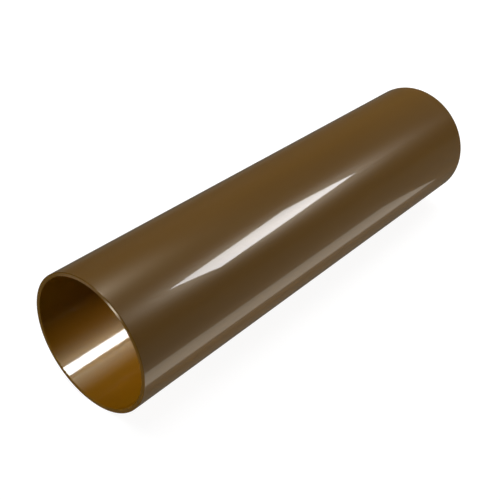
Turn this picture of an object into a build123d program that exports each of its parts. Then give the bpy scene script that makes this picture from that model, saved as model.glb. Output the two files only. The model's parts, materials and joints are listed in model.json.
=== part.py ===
from build123d import *

import os

# A cut length of smooth-walled PVC-U pipe, lying on its side.
#
# The pipe is one extruded tube. Its axis is +X, +Z is up, and the origin is on the
# axis at mid-length. Both ends are sawn square: the outer edge is rubbed round and
# the edge of the bore is scraped to a small bevel, as a cut end is finished before
# it goes into a socket.

# Driving dimensions, in millimetres
outside_diameter = 110.0
wall_thickness = 3.2
pipe_length = 432.0
outer_edge_radius = 0.5
bore_edge_bevel = 0.4

# Sizes that follow from them
outside_radius = outside_diameter / 2
bore_radius = outside_radius - wall_thickness


# The tube: the ring that the die gives, drawn out to both sides of the origin
with BuildPart() as pipe:
    with BuildSketch(Plane.YZ) as wall_section:
        Circle(outside_radius)
        Circle(bore_radius, mode=Mode.SUBTRACT)
    extrude(amount=pipe_length / 2, both=True)

    # The four end edges, smallest circles first: two at the bore, two outside
    end_edges = pipe.edges().filter_by(GeomType.CIRCLE).group_by(SortBy.RADIUS)
    chamfer(end_edges[0], length=bore_edge_bevel)
    fillet(end_edges[-1], radius=outer_edge_radius)

pipe.part.label = "pipe"

os.makedirs("parts", exist_ok=True)
export_step(pipe.part, "parts/pipe.step")
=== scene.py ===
# %% [markdown]
# # A cut length of brown PVC pipe
#
# The object is one piece of stock: a smooth, thin-walled pipe of unplasticised PVC, 110 mm across,
# sawn to length and lying on a pale studio floor. Its shape is so plain that the whole look rests
# on three things: a true round wall with real edges, a plastic skin that shines twice, and lamps
# whose reflections stand where a photographer would put them. The cells below make them in that
# order.
#
# The frame is what the CAD model hands over: its pieces, where they are, and what they measure. It
# is loaded first.

# %% Load the frame

import json
import math

import bpy
import numpy as np
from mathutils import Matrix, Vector


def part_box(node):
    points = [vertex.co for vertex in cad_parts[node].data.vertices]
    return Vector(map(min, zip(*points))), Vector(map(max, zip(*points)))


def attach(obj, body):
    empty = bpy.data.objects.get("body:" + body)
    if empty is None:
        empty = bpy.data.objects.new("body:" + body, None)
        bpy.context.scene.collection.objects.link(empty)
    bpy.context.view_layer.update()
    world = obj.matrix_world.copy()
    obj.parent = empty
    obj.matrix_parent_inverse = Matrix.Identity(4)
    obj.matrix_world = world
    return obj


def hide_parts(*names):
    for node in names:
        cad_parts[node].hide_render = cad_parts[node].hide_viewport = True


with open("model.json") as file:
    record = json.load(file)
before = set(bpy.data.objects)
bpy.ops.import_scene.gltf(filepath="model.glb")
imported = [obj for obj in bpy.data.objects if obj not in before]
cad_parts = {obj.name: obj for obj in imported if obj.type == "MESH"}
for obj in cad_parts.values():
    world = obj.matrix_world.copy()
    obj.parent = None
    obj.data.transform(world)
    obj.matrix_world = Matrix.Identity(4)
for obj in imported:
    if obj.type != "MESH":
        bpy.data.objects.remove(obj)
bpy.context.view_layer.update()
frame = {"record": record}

# %% [markdown]
# ## The pipe's sizes
#
# The frame already holds every size of the pipe, so none is typed again here. The length is its
# box's, and the radii are those of the mounts: a pipe is bought by the outside that enters a socket
# and by the bore that is left. The mounts also stop where the ends' broken edges start, which gives
# the radius of the outer edge and the bevel of the bore.

# %% Read the pipe's sizes

mm = 0.001
pipe_low, pipe_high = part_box("pipe")
mount_sizes = {mount["name"]: mount["dims"] for mount in frame["record"]["mounts"]}

half_length = (pipe_high.x - pipe_low.x) / 2
outside_radius = mount_sizes["spigot_left"]["r_mm"] * mm
bore_radius = mount_sizes["bore"]["r_mm"] * mm
edge_radius = half_length - mount_sizes["spigot_left"]["length_mm"] * mm / 2
bore_bevel = half_length - mount_sizes["bore"]["length_mm"] * mm / 2
floor_level = -outside_radius
print(f"length {2 * half_length / mm:.1f}, outside {2 * outside_radius / mm:.1f},",
      f"wall {(outside_radius - bore_radius) / mm:.2f}, edge {edge_radius / mm:.2f},",
      f"bevel {bore_bevel / mm:.2f} mm")

# %% [markdown]
# ## The wall's section
#
# Cut a pipe along its axis and the wall shows as a long thin bar: outer skin, a small round where
# the outer edge was rubbed off, the flat sawn face, a bevel scraped at the bore, and the bore's own
# skin back to the other end. A cylinder with a Bevel modifier could give that shape, but then the
# shading of the narrow faces would be guesswork. Here the section is written down once, with its
# true normals, so the sawn face shades flat and the rubbed edge shades round at any distance.

# %% Draw the wall's section

rows_along = 36
steps_in_round = 6
steps_on_face = 2

SKIN, BORE, CUT_END = 0, 1, 2


def straight(start, end, steps, side):
    """A straight stretch of the section: point(s) = start + s (end - start), for s from 0 to 1.
    Its normal is the direction turned a quarter to the left, the same all along."""
    share = np.linspace(0, 1, steps + 1)[:, None]
    points = np.array(start) + share * (np.array(end) - np.array(start))
    along = (points[-1] - points[0]) / np.linalg.norm(points[-1] - points[0])
    normals = np.tile([-along[1], along[0]], (steps + 1, 1))
    return points, normals, side


def rounded(centre, radius, first, last, steps, side):
    """An arc of the section: point(a) = centre + radius (cos a, sin a), for a from first to last,
    in degrees. Its normal at each point is (cos a, sin a)."""
    angle = np.radians(np.linspace(first, last, steps + 1))
    normals = np.stack([np.cos(angle), np.sin(angle)], axis=1)
    return np.array(centre) + radius * normals, normals, side


skin_end = half_length - edge_radius
bore_end = half_length - bore_bevel
face_top = outside_radius - edge_radius
face_foot = bore_radius + bore_bevel

section = [
    straight((-skin_end, outside_radius), (skin_end, outside_radius), rows_along, SKIN),
    rounded((skin_end, face_top), edge_radius, 90, 0, steps_in_round, CUT_END),
    straight((half_length, face_top), (half_length, face_foot), steps_on_face, CUT_END),
    straight((half_length, face_foot), (bore_end, bore_radius), 1, CUT_END),
    straight((bore_end, bore_radius), (-bore_end, bore_radius), rows_along, BORE),
    straight((-bore_end, bore_radius), (-half_length, face_foot), 1, CUT_END),
    straight((-half_length, face_foot), (-half_length, face_top), steps_on_face, CUT_END),
    rounded((-skin_end, face_top), edge_radius, 180, 90, steps_in_round, CUT_END),
]
print("stretches in the section:", len(section))

# %% [markdown]
# ## The section carried round the axis
#
# The die gave the real pipe its ring and the haul-off drew it out along the axis. A surface doesn't
# mind which of the two comes first, so the mesh goes the other way: the wall's section is carried
# round the axis in one turn. The last column of faces meets the first, and the last row meets the
# first too, so the wall is closed and needs no merging.

# %% Turn the section into the pipe

columns_around = 480


def turned(radial, angle):
    """A surface of revolution, as whole arrays: (x, r) at angle a goes to (x, r cos a, r sin a)."""
    x, r = radial[..., 0, None], radial[..., 1, None]
    along = np.broadcast_to(x, r.shape[:-1] + angle.shape)
    return np.stack([along, r * np.cos(angle), r * np.sin(angle)], axis=-1)


def pipe_mesh(name):
    """The closed wall. Each stretch gives its points but the last, which starts the next stretch.
    A face takes its corners' normals from its own stretch, so an edge between two is sharp."""
    points = np.concatenate([stretch[0][:-1] for stretch in section])
    near = np.concatenate([stretch[1][:-1] for stretch in section])
    far = np.concatenate([stretch[1][1:] for stretch in section])
    sides = np.concatenate([np.full(len(stretch[0]) - 1, stretch[2]) for stretch in section])
    rows = len(points)
    angle = np.arange(columns_around) * 2 * np.pi / columns_around

    row = np.arange(rows)[:, None]
    column = np.arange(columns_around)[None, :]
    next_row = (row + 1) % rows
    next_column = (column + 1) % columns_around
    corners = [(row, column), (row, next_column), (next_row, next_column), (next_row, column)]
    faces = np.stack([r * columns_around + c for r, c in corners], axis=-1).reshape(-1, 4)

    mesh = bpy.data.meshes.new(name)
    mesh.from_pydata(turned(points, angle).reshape(-1, 3), [], faces)
    mesh.polygons.foreach_set("material_index", np.repeat(sides, columns_around))
    mesh.polygons.foreach_set("use_smooth", np.ones(len(faces), dtype=bool))
    around = (turned(near, angle), turned(far, angle))
    at_corner = [around[0], np.roll(around[0], -1, 1), np.roll(around[1], -1, 1), around[1]]
    mesh.normals_split_custom_set(np.stack(at_corner, axis=2).reshape(-1, 3))
    return mesh


pipe = bpy.data.objects.new("pvc_pipe", pipe_mesh("pvc_pipe"))
bpy.context.scene.collection.objects.link(pipe)
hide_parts("pipe")
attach(pipe, "root")
print("faces in the pipe:", len(pipe.data.polygons))

# %% [markdown]
# ## Helpers for materials
#
# Colours are written as the sRGB hex codes that a colour card or a screen shows, and Blender's
# sockets want linear light, so one function turns them. One more adds a node with its settings and
# its links, which keeps each material short enough to read as a recipe.

# %% Colour and node helpers


def linear(code):
    """An sRGB hex code as linear RGBA: c / 12.92 up to 0.04045, and ((c + 0.055) / 1.055)^2.4
    past it."""
    shown = np.array([int(code[i:i + 2], 16) for i in (1, 3, 5)]) / 255
    light = np.where(shown <= 0.04045, shown / 12.92, ((shown + 0.055) / 1.055) ** 2.4)
    return (*light.tolist(), 1.0)


def add_node(tree, kind, settings=None, links=None):
    """Adds a node. settings gives its properties and the values of its input sockets, by name or
    by number, and links gives the output socket that feeds an input socket."""
    node = tree.nodes.new(kind)
    for name, value in (settings or {}).items():
        if isinstance(name, int) or name in node.inputs:
            node.inputs[name].default_value = value
        else:
            setattr(node, name, value)
    for name, source in (links or {}).items():
        tree.links.new(source, node.inputs[name])
    return node


def new_material(name):
    """An empty node material and its tree."""
    material = bpy.data.materials.new(name)
    material.use_nodes = True
    material.node_tree.nodes.clear()
    return material, material.node_tree


print("the screen's middle grey in linear light:", round(linear("#808080")[0], 3))

# %% [markdown]
# ## Extruded PVC skin
#
# PVC-U pipe leaves a heated steel die and is sized in a water-cooled sleeve. The sleeve polishes
# the outer skin, and the die leaves very fine lines along the pipe. Look at the highlight of a lamp
# on such a skin: it has a sharp edge, because the outermost skin is nearly a mirror, and round it
# lies a soft glow, because the pigment and filler just under that skin scatter light a little. One
# gloss of one roughness can't be both, so the shader gets a smooth coat over a base of medium
# roughness. PVC has an IOR of 1.53.
#
# The bore touches no sleeve and cools in the open, so it is duller. It gets the same plastic with
# hardly any coat and very little gloss in the base. That also keeps a lamp's image to one clean
# band: in a bore with a full coat it would come back several times, as in a hall of mirrors.
#
# The pigment is an iron-oxide brown that is the same right through the wall. It is mixed by the
# extruder's screw, and leaves a barely visible flow along the pipe. The bore's brown is written a
# shade deeper than the skin's, because light that bounces round inside a bore fills its dark side:
# the deeper brown is painted shade, not a different pigment.

# %% Extruded PVC skin

pvc_ior = 1.53
coat_roughness = 0.01
rubbed_roughness = 0.03
die_line_spacing, die_line_height = 1.6 * mm, 0.0015 * mm


def drawn_pattern(tree, length, width, detail):
    """Noise whose patches are length long along the pipe's axis X and width wide across it."""
    place = add_node(tree, "ShaderNodeTexCoord")
    stretch = add_node(
        tree, "ShaderNodeMapping",
        {"Scale": (1 / length, 1 / width, 1 / width)}, {"Vector": place.outputs["Object"]},
    )
    return add_node(
        tree, "ShaderNodeTexNoise", {"Scale": 1.0, "Detail": detail},
        {"Vector": stretch.outputs["Vector"]},
    )


def pvc_skin(name, light_brown, dark_brown, polish, scatter, haze, sheen):
    """A PVC skin: a smooth clear coat, by the share polish, over pigmented plastic. That plastic's
    own gloss has the roughness scatter, the strength haze, where 0.5 is plain PVC, and a tint."""
    material, tree = new_material(name)

    flow = drawn_pattern(tree, length=240 * mm, width=22 * mm, detail=3)
    pigment = add_node(tree, "ShaderNodeValToRGB", links={"Fac": flow.outputs["Fac"]})
    pigment.color_ramp.elements[0].position = 0.3
    pigment.color_ramp.elements[0].color = linear(dark_brown)
    pigment.color_ramp.elements[1].position = 0.7
    pigment.color_ramp.elements[1].color = linear(light_brown)

    # Hands and straps rub the skin unevenly, which changes its roughness a little.
    handling = drawn_pattern(tree, length=60 * mm, width=12 * mm, detail=4)
    roughness = add_node(
        tree, "ShaderNodeMapRange",
        {"To Min": scatter - rubbed_roughness, "To Max": scatter + rubbed_roughness},
        {"Value": handling.outputs["Fac"]},
    )

    # The die's lines are finer than this on the real pipe, where they are under a millimetre apart.
    lines = drawn_pattern(tree, length=500 * mm, width=die_line_spacing, detail=2)
    relief = add_node(
        tree, "ShaderNodeBump", {"Strength": 1.0, "Distance": die_line_height},
        {"Height": lines.outputs["Fac"]},
    )
    shader = add_node(
        tree, "ShaderNodeBsdfPrincipled",
        {
            "IOR": pvc_ior, "Specular Tint": linear(sheen), "Specular IOR Level": haze,
            "Coat Weight": polish, "Coat Roughness": coat_roughness, "Coat IOR": pvc_ior,
        },
        {
            "Base Color": pigment.outputs["Color"],
            "Roughness": roughness.outputs["Result"],
            "Normal": relief.outputs["Normal"],
            "Coat Normal": relief.outputs["Normal"],
        },
    )
    add_node(
        tree, "ShaderNodeOutputMaterial", links={"Surface": shader.outputs["BSDF"]},
    )
    return material


outer_skin = pvc_skin(
    "extruded_pvc_skin", "#6a4806", "#664404",
    polish=1.0, scatter=0.33, haze=0.74, sheen="#fff5de",
)
# The bore's two browns are painted shade: the skin's pigment, written darker for the inside of the
# bore.
bore_skin_painted_shade = pvc_skin(
    "extruded_pvc_bore_painted_shade", "#5d3c02", "#5a3801",
    polish=0.06, scatter=0.29, haze=0.0145, sheen="#fff4cc",
)
print("skins:", outer_skin.name, "and", bore_skin_painted_shade.name)

# %% [markdown]
# ## Sawn end
#
# The saw takes the sleeve's polish off, so the end has no coat, and its teeth leave a fine grain of
# parallel lines. The face isn't rough, though: a fine blade at speed warms the plastic and smears
# it smooth, and a low card in front of the end shows in it as a bright stretch with soft edges. So
# the cut gets a low roughness, a faint relief and a warm tint in its gloss, which comes from the
# pigment that the blade lays bare. A Wave texture draws the saw lines, because they are straight
# and even.

# %% Sawn PVC end

saw_line_spacing, saw_line_height = 0.5 * mm, 0.004 * mm
sawn_roughness = 0.13
wave_length_at_scale_1 = math.tau / 20


def sawn_end(name, light_brown, dark_brown):
    """The cut face: saw lines across the pipe over smooth plastic. The Wave texture is the sine of
    20 x scale x height, so its scale is 2 pi / 20 divided by the lines' spacing."""
    material, tree = new_material(name)
    place = add_node(tree, "ShaderNodeTexCoord")
    lines = add_node(
        tree, "ShaderNodeTexWave",
        {
            "bands_direction": "Z", "Scale": wave_length_at_scale_1 / saw_line_spacing,
            "Distortion": 1.5, "Detail": 2.0, "Detail Scale": 0.05,
        },
        {"Vector": place.outputs["Object"]},
    )
    tint = add_node(tree, "ShaderNodeValToRGB", links={"Fac": lines.outputs["Fac"]})
    tint.color_ramp.elements[0].color = linear(dark_brown)
    tint.color_ramp.elements[1].color = linear(light_brown)
    relief = add_node(
        tree, "ShaderNodeBump", {"Strength": 1.0, "Distance": saw_line_height},
        {"Height": lines.outputs["Fac"]},
    )
    shader = add_node(
        tree, "ShaderNodeBsdfPrincipled",
        {"IOR": pvc_ior, "Roughness": sawn_roughness, "Specular Tint": linear("#ffe6c8")},
        {"Base Color": tint.outputs["Color"], "Normal": relief.outputs["Normal"]},
    )
    add_node(
        tree, "ShaderNodeOutputMaterial", links={"Surface": shader.outputs["BSDF"]},
    )
    return material


cut_end = sawn_end("sawn_pvc_end", "#66470f", "#5b3f0b")

for surface in (outer_skin, bore_skin_painted_shade, cut_end):
    pipe.data.materials.append(surface)
print("materials on the pipe:", [surface.name for surface in pipe.data.materials])

# %% [markdown]
# ## Surroundings
#
# A product picture has a white ground, and a glossy object in a white tent looks milky, because it
# mirrors the tent. Photographers keep the ground white and hang the room dark. The Light Path node
# does the same here: the camera sees white, directly or through glass, while the plastic mirrors a
# dim warm room, and the light that falls on the pipe is an even, ordinary one. The world isn't
# sampled as a lamp, because in that kind of sampling Light Path doesn't know what the ray is for.

# %% Surroundings

white_seen = 1.0
room_mirrored = 0.065
even_light = 0.1
warm_room = "#fff8e6"

world = bpy.data.worlds.new("studio")
world.use_nodes = True
world.cycles.sampling_method = "NONE"
bpy.context.scene.world = world
world.node_tree.nodes.clear()


def by_ray(tree, plain, camera, glossy):
    """A number that is plain for light on surfaces, and another for what the camera sees and for
    what shines back: plain + seen (camera - plain) + is_glossy (glossy - plain), where seen is the
    larger of is_camera and is_transmission."""
    ray = add_node(tree, "ShaderNodeLightPath")
    looked_at = add_node(
        tree, "ShaderNodeMath", {"operation": "MAXIMUM"},
        {0: ray.outputs["Is Camera Ray"], 1: ray.outputs["Is Transmission Ray"]},
    )
    seen = add_node(
        tree, "ShaderNodeMath", {"operation": "MULTIPLY_ADD", 1: camera - plain, 2: plain},
        {0: looked_at.outputs["Value"]},
    )
    return add_node(
        tree, "ShaderNodeMath", {"operation": "MULTIPLY_ADD", 1: glossy - plain},
        {0: ray.outputs["Is Glossy Ray"], 2: seen.outputs["Value"]},
    )


def warm_in_gloss(tree):
    """White, but the warm white of the room for what shines back."""
    ray = add_node(tree, "ShaderNodeLightPath")
    return add_node(
        tree, "ShaderNodeMixRGB", {"Color1": (1, 1, 1, 1), "Color2": linear(warm_room)},
        {"Fac": ray.outputs["Is Glossy Ray"]},
    )


room = by_ray(world.node_tree, even_light, white_seen, room_mirrored)
room_white = warm_in_gloss(world.node_tree)
background = add_node(
    world.node_tree, "ShaderNodeBackground",
    links={"Color": room_white.outputs["Color"], "Strength": room.outputs["Value"]},
)
add_node(
    world.node_tree, "ShaderNodeOutputWorld", links={"Surface": background.outputs["Background"]},
)
print(f"room: seen {white_seen}, mirrored {room_mirrored}, light on surfaces {even_light}")

# %% [markdown]
# ## Floor
#
# The floor is matt white paint. To the camera it is a white glow plus a small part of its real, lit
# shade, so the pipe's soft shadow stays and holds it on the ground. To gloss it is a dim grey, as
# the rest of the room is, and for light on surfaces it is plain paint. It reaches 30 metres each
# way, so far that its edge is the horizon.

# %% Floor

floor_reach = 30.0
floor_white = 0.8
floor_seen = 0.92
floor_shade_seen = 0.2
floor_mirrored = 0.11

floor_mesh = bpy.data.meshes.new("floor")
floor_corners = np.array([(-1, -1), (1, -1), (1, 1), (-1, 1)]) * floor_reach
floor_mesh.from_pydata([(x, y, floor_level) for x, y in floor_corners], [], [(0, 1, 2, 3)])
floor = bpy.data.objects.new("floor", floor_mesh)
bpy.context.scene.collection.objects.link(floor)

floor_paint, paint_tree = new_material("white_floor_paint")
shade = by_ray(paint_tree, floor_white, floor_shade_seen, 0.0)
glow = by_ray(paint_tree, 0.0, floor_seen, floor_mirrored)
glow_white = warm_in_gloss(paint_tree)
lit = add_node(
    paint_tree, "ShaderNodeBsdfDiffuse", links={"Color": shade.outputs["Value"]},
)
lifted = add_node(
    paint_tree, "ShaderNodeEmission",
    links={"Color": glow_white.outputs["Color"], "Strength": glow.outputs["Value"]},
)
both = add_node(
    paint_tree, "ShaderNodeAddShader",
    links={0: lit.outputs["BSDF"], 1: lifted.outputs["Emission"]},
)
add_node(paint_tree, "ShaderNodeOutputMaterial", links={"Surface": both.outputs["Shader"]})
floor_paint.cycles.emission_sampling = "NONE"
floor_mesh.materials.append(floor_paint)
print(f"floor at {floor_level / mm:.1f} mm")

# %% [markdown]
# ## Lamps
#
# A softbox does two jobs at once: it lights the pipe, and its image shines in the pipe's skin. In a
# studio both change together. Here each lamp may do one job alone, which a photographer would
# envy: the shade of the brown is set with lamps that only light, and the highlights with lamps that
# only shine. A lamp's brightness is then what its patch has over the plain skin, divided by the
# share that the skin mirrors.

# %% Lamp helper


def soft_lamp(
    name, middle, facing, size, brightness, lights_up=True, shines=True, colour="#ffffff",
    spread=180,
):
    """A flat rectangular lamp. Its middle and its width by height are in millimetres, and its
    brightness is 1 for white. Blender wants its power: pi x area x brightness. One that doesn't
    light things up shows in gloss alone, and one that doesn't shine shows in no gloss. A spread
    under 180 degrees is a honeycomb grid on the lamp, which dims it away from where it faces."""
    width, height = size
    lamp = bpy.data.lights.new(name, "AREA")
    lamp.shape = "RECTANGLE"
    lamp.size = width * mm
    lamp.size_y = height * mm
    lamp.color = linear(colour)[:3]
    lamp.spread = math.radians(spread)
    lamp.energy = math.pi * lamp.size * lamp.size_y * brightness
    placed = bpy.data.objects.new(name, lamp)
    placed.location = Vector(middle) * mm
    placed.rotation_mode = "QUATERNION"
    placed.rotation_quaternion = Vector(facing).to_track_quat("-Z", "Y")
    placed.visible_camera = False
    placed.visible_diffuse = lights_up
    placed.visible_glossy = shines
    bpy.context.scene.collection.objects.link(placed)
    print(f"{name}: {width:.0f} x {height:.0f} mm, {lamp.energy:.3g} W")


# %% [markdown]
# ## Lamps that light the skin
#
# Four large panels give the brown its shades. A ceiling panel lights the top, and another lights
# the far side from behind. One past the far end makes the skin slowly brighter towards it, and a
# light table lights the belly. The table lies on the floor and starts under the near end, no
# further out, because light from below that comes in at the open end makes the roof of the bore
# grey.

# %% Lamps that light the skin

on_floor = floor_level / mm
table_top = on_floor + 0.5

soft_lamp("fill_light", (300, 200, 1400), (-0.2, -0.1, -1), (1400, 1000), 3.0, shines=False)
soft_lamp("back_light", (700, 800, 400), (-600, -800, -350), (800, 600), 6.0, shines=False)
soft_lamp("side_light", (900, 0, 500), (-900, 0, -400), (500, 800), 3.0, shines=False)
soft_lamp("light_table", (160, 0, table_top), (0, 0, 1), (750, 900), 0.82, shines=False)

# %% [markdown]
# ## Lamps that shine on the skin
#
# On a pipe each lamp shows as a stretched patch of light. The patch's edges tell where the lamp
# stood, because a mirrored ray leaves at the angle at which it came, and that is how these places
# were found. The key light is an upright softbox at the right of the camera, a little cool as
# daylight lamps are, and makes the slanted white patch. Plastic mirrors more at a glancing angle,
# so the patch would be brighter at its far end, and a honeycomb grid on the softbox evens it out.
# The grid lets light out over 132 degrees. The top light hangs over the near end, and from the
# camera only its soft glow shows.

# %% Lamps that shine on the skin

grid_spread = 132

soft_lamp(
    "key_light", (541.7, -500.5, 556.7), (-0.617, 0.770, 0.163), (320.4, 271.0), 8.4,
    lights_up=False, colour="#f9faff", spread=grid_spread,
)
soft_lamp("top_light", (-164, 25, 600), (0, 0, -1), (400, 110), 18.0, lights_up=False)

# %% [markdown]
# ## Reflector on the floor
#
# A long silver card beside the pipe gives the dim, sharp-edged strip near the pipe's foot. A lamp
# can't be cut at a slant, and the strip's far tip shows that the card's end was, so the card is a
# four-cornered mesh that glows faintly, less and less towards its far end. Only gloss sees it.

# %% Reflector on the floor

near_edge, far_edge = -118.3, -74.7
card_start, card_near_end, card_far_end = -330, 174, 238
start_glow, far_glow = 0.98, 0.71
above_floor = on_floor + 1

reflector_corners = np.array([
    (card_start, near_edge, above_floor), (card_near_end, near_edge, above_floor),
    (card_far_end, far_edge, above_floor), (card_start, far_edge, above_floor),
]) * mm
reflector_mesh = bpy.data.meshes.new("reflector")
reflector_mesh.from_pydata(reflector_corners, [], [(0, 1, 2, 3)])
reflector = bpy.data.objects.new("reflector", reflector_mesh)
bpy.context.scene.collection.objects.link(reflector)
reflector.visible_camera = False
reflector.visible_diffuse = False
reflector.visible_shadow = False

silver_card, card_tree = new_material("silver_reflector")
card_place = add_node(card_tree, "ShaderNodeTexCoord")
card_along = add_node(
    card_tree, "ShaderNodeSeparateXYZ", links={"Vector": card_place.outputs["Object"]},
)
card_fade = add_node(
    card_tree, "ShaderNodeMapRange",
    {
        "From Min": card_start * mm, "To Min": start_glow,
        "From Max": card_far_end * mm, "To Max": far_glow,
    },
    {"Value": card_along.outputs["X"]},
)
card_glow = add_node(
    card_tree, "ShaderNodeEmission", {"Color": linear("#f9f4e7")},
    {"Strength": card_fade.outputs["Result"]},
)
add_node(card_tree, "ShaderNodeOutputMaterial", links={"Surface": card_glow.outputs["Emission"]})
silver_card.cycles.emission_sampling = "NONE"
reflector_mesh.materials.append(silver_card)
print(f"reflector: {card_far_end - card_start} x {far_edge - near_edge:.0f} mm")

# %% [markdown]
# ## Light in the bore and on the sawn end
#
# The white band in the bore runs straight along it, so its lamp does too: a slim one just under
# the bore's roof. It must be far brighter than white, because the dull bore mirrors little of it.
# A row of much dimmer lamps on each side of it makes the grey glow that fades out from the band. A
# hollow round wall turns a mirrored ray by about three degrees for each degree along it, so the
# rows are wide for a narrow glow. Another slim lamp lies on the axis, from inside the bore to a
# little way out of the mouth. It faces down and gives the amber floor of the bore, as daylight from
# the open end would, and a wide grid keeps it off the walls beside it.
#
# A lamp far out in front of the near end lights the sawn ring evenly. A small card on the floor
# gives the ring its one bright stretch, and a dim one behind it a faint sheen along the ring's top.

# %% Light in the bore and on the sawn end

gap_to_roof = 0.4
roof_radius = bore_radius / mm - gap_to_roof
roof_lamp_middle, roof_lamp_length = -130, 110
glow_steps = 8
wide_grid_spread = 168


def roof_lamp(name, first, last, brightness, colour):
    """A slim lamp that only shines, along the bore just under its roof. It is the chord between two
    angles round the axis, in degrees from +Y towards +Z, and faces the axis. Its grid hides it from
    the far end, where the bore would mirror it at a glancing angle."""
    angles = np.radians([first, last])
    edges = roof_radius * np.stack([np.cos(angles), np.sin(angles)])
    middle = edges.mean(axis=1)
    width = float(np.linalg.norm(edges[:, 0] - edges[:, 1]))
    soft_lamp(
        name, (roof_lamp_middle, *middle), (0, *-middle), (roof_lamp_length, width), brightness,
        lights_up=False, colour=colour, spread=grid_spread,
    )


def roof_glow(name, bright_edge, dark_edge, brightness, colour):
    """A row of roof lamps from one angle to another, whose brightness fades out by the smooth step
    1 - t^2 (3 - 2 t), with t from 0 to 1 taken at each lamp's middle."""
    edges = np.linspace(bright_edge, dark_edge, glow_steps + 1)
    for step in range(glow_steps):
        t = (step + 0.5) / glow_steps
        left = brightness * (1 - t * t * (3 - 2 * t))
        roof_lamp(f"{name}_{step}", edges[step], edges[step + 1], left, colour)


roof_lamp("bore_light", 98, 121, 255.0, "#eef6ff")
roof_glow("glow_above", 122, 176, 8.1, "#fcffe8")
roof_glow("glow_below", 88, 36, 18.0, "#fcffe8")

soft_lamp(
    "bore_fill", (-170, 0, 0), (0, 0, -1), (140, 20), 6.4,
    shines=False, spread=wide_grid_spread,
)
soft_lamp("end_light", (-1200, -60, 60), (1200, 60, -60), (300, 300), 17.0, shines=False)
soft_lamp(
    "rim_light", (-303, 74.5, above_floor), (0, 0, 1), (30, 17), 6.3,
    lights_up=False, colour="#fffef2",
)
soft_lamp(
    "rim_sheen", (-312, 127, above_floor), (0, 0, 1), (30, 45), 0.5,
    lights_up=False, colour="#ffe9dc",
)

# %% [markdown]
# ## Camera
#
# The photographer stood at the open end, above and to the left of the pipe, near enough for the far
# end to look clearly smaller. The place, the turn and the focal length belong together: they were
# fitted to the pipe's outline.

# %% Camera

azimuth = math.radians(-50.320)
elevation = math.radians(32.130)
camera_distance = 734.70 * mm
aim = Vector((-25.80, 12.83, -20.16)) * mm

camera = bpy.data.cameras.new("camera")
camera.lens = 61.964
camera.sensor_width = 36.0
camera_stand = bpy.data.objects.new("camera", camera)
back = Vector((
    math.sin(azimuth) * math.cos(elevation),
    -math.cos(azimuth) * math.cos(elevation),
    math.sin(elevation),
))
camera_stand.location = aim + back * camera_distance
camera_stand.rotation_mode = "QUATERNION"
camera_stand.rotation_quaternion = (-back).to_track_quat("-Z", "Y")
bpy.context.scene.collection.objects.link(camera_stand)
bpy.context.scene.camera = camera_stand
bpy.context.scene.view_settings.view_transform = "Standard"
print("camera at", [round(c, 4) for c in camera_stand.location])
